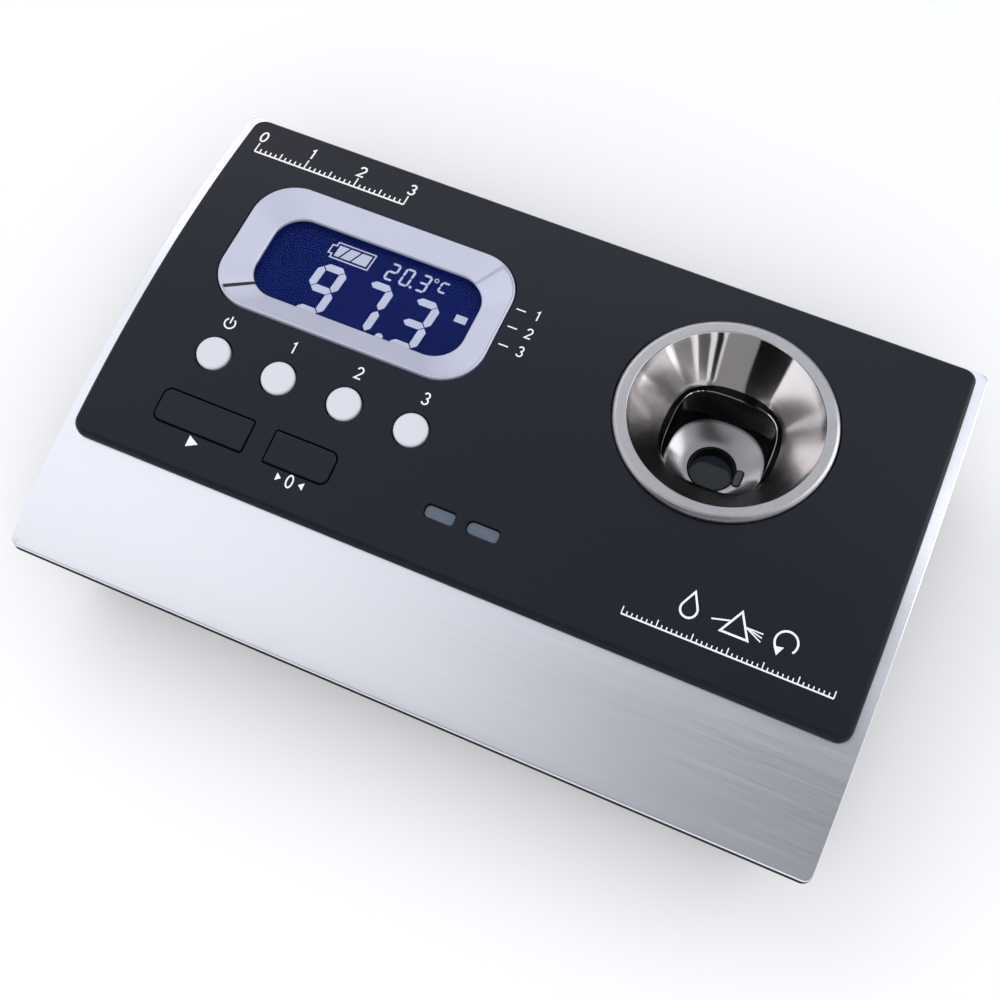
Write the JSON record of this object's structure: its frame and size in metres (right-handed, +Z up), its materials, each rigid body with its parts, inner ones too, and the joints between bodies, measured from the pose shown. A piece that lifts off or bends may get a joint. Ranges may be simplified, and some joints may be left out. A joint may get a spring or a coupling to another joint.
{
  "type": "portable refracto-polarimeter",
  "caption": "Low bench-top optical instrument with an arched steel top, a black control panel, a blue display, push keys and a polished sample well over a measuring prism.",
  "frame": {"origin": "on the bench, under the middle of the case", "axes": "+X to the right as the user sees the keys, +Y to the back, +Z up"},
  "size_m": [0.1708, 0.1104, 0.0404],
  "materials": {
    "brushed_steel": "fine grain brushed along the width",
    "black_panel": "satin dark slate, fine texture",
    "silver_frame": "satin silver paint",
    "silver_key": "satin silver paint",
    "clear_window": "clear, polished",
    "prism_glass": "optical glass, polished",
    "display_blue": "deep blue negative display with pale segments",
    "grey_lens": "translucent smoke grey",
    "polished_steel": "mirror-polished stainless steel, satin on the rim",
    "gloss_black": "glossy black",
    "black_rubber": "matte",
    "grey_sensor": "smooth dark grey",
    "case_black": "fine moulded texture",
    "black_plastic": "moulded",
    "white_plastic": "moulded, smooth",
    "circuit_board": "green solder mask",
    "dark_film": "polarising film",
    "brass": "machined",
    "motor_steel": "drawn can",
    "screw_steel": "zinc-plated",
    "contact_metal": "nickel-plated",
    "cell_sleeve": "plain printed sleeve"
  },
  "bodies": {
    "case": {"power_switch": "black_plastic", "angle_switch": "black_plastic", "brix_switch": "black_plastic", "user_switch": "black_plastic", "start_switch": "black_plastic", "zero_switch": "black_plastic", "indicator_lens_left": "grey_lens", "indicator_lens_right": "grey_lens", "key_board": "circuit_board", "buzzer": "black_plastic", "display_bezel": "silver_frame", "display_window": "clear_window", "lcd_glass": "display_blue", "lcd_backlight": "white_plastic", "main_board": "circuit_board", "well_funnel": "polished_steel", "well_gasket": "black_rubber", "well_liner": "gloss_black", "cell_window_left": "clear_window", "cell_window_right": "clear_window", "well_floor": "polished_steel", "temperature_sensor": "grey_sensor", "measuring_prism": "prism_glass", "prism_seal": "black_rubber", "optics_block": "black_plastic", "refractometer_led": "white_plastic", "image_sensor": "circuit_board", "stepper_motor": "motor_steel", "drive_bracket": "black_plastic", "source_tube": "black_plastic", "polariser": "dark_film", "collimating_lens": "prism_glass", "source_led": "white_plastic", "photodiode": "circuit_board", "top_plate": "brushed_steel", "control_panel": "black_panel", "lower_case": "case_black", "foot_front_left": "black_rubber", "foot_front_right": "black_rubber", "foot_back_left": "black_rubber", "foot_back_right": "black_rubber", "case_screw_front_left": "screw_steel", "case_screw_back_left": "screw_steel", "case_screw_front_right": "screw_steel", "case_screw_back_right": "screw_steel", "battery_front": "cell_sleeve", "battery_back": "cell_sleeve", "contact_spring": "contact_metal", "contact_plate": "contact_metal", "contact_bridge": "contact_metal"},
    "power_key": {"power_key": "silver_key"},
    "angle_key": {"angle_key": "silver_key"},
    "brix_key": {"brix_key": "silver_key"},
    "user_key": {"user_key": "silver_key"},
    "start_key": {"start_key": "black_panel"},
    "zero_key": {"zero_key": "black_panel"},
    "battery_door": {"battery_door": "case_black"},
    "analyser": {"analyser_gear": "white_plastic", "analyser_film": "dark_film"},
    "motor_pinion": {"motor_pinion": "brass"}
  },
  "joints": [
    {"name": "power_key_press", "type": "slide", "parent": "case", "child": "power_key", "axis": [0, 0.11, -0.9939], "range_m": [0, 0.0005], "stiffness_N_per_m": 1200, "springref_m": -0.0003},
    {"name": "angle_key_press", "type": "slide", "parent": "case", "child": "angle_key", "axis": [0, 0.11, -0.9939], "range_m": [0, 0.0005], "stiffness_N_per_m": 1200, "springref_m": -0.0003},
    {"name": "brix_key_press", "type": "slide", "parent": "case", "child": "brix_key", "axis": [0, 0.11, -0.9939], "range_m": [0, 0.0005], "stiffness_N_per_m": 1200, "springref_m": -0.0003},
    {"name": "user_key_press", "type": "slide", "parent": "case", "child": "user_key", "axis": [0, 0.11, -0.9939], "range_m": [0, 0.0005], "stiffness_N_per_m": 1200, "springref_m": -0.0003},
    {"name": "start_key_press", "type": "slide", "parent": "case", "child": "start_key", "axis": [0, 0.11, -0.9939], "range_m": [0, 0.0005], "stiffness_N_per_m": 1200, "springref_m": -0.0003},
    {"name": "zero_key_press", "type": "slide", "parent": "case", "child": "zero_key", "axis": [0, 0.11, -0.9939], "range_m": [0, 0.0005], "stiffness_N_per_m": 1200, "springref_m": -0.0003},
    {"name": "battery_door_slide", "type": "slide", "parent": "case", "child": "battery_door", "axis": [-1, 0, 0], "range_m": [0, 0.03]},
    {"name": "analyser_spin", "type": "hinge", "parent": "case", "child": "analyser", "pos_m": [0.0222, 0.0209, 0.02114], "axis": [1, 0, 0], "continuous": true},
    {"name": "pinion_spin", "type": "hinge", "parent": "case", "child": "motor_pinion", "pos_m": [0.0222, 0.0095, 0.02159], "axis": [1, 0, 0], "continuous": true}
  ],
  "couplings": [
    {"joint": "pinion_spin", "follows": "analyser_spin", "ratio": -2.8}
  ]
}
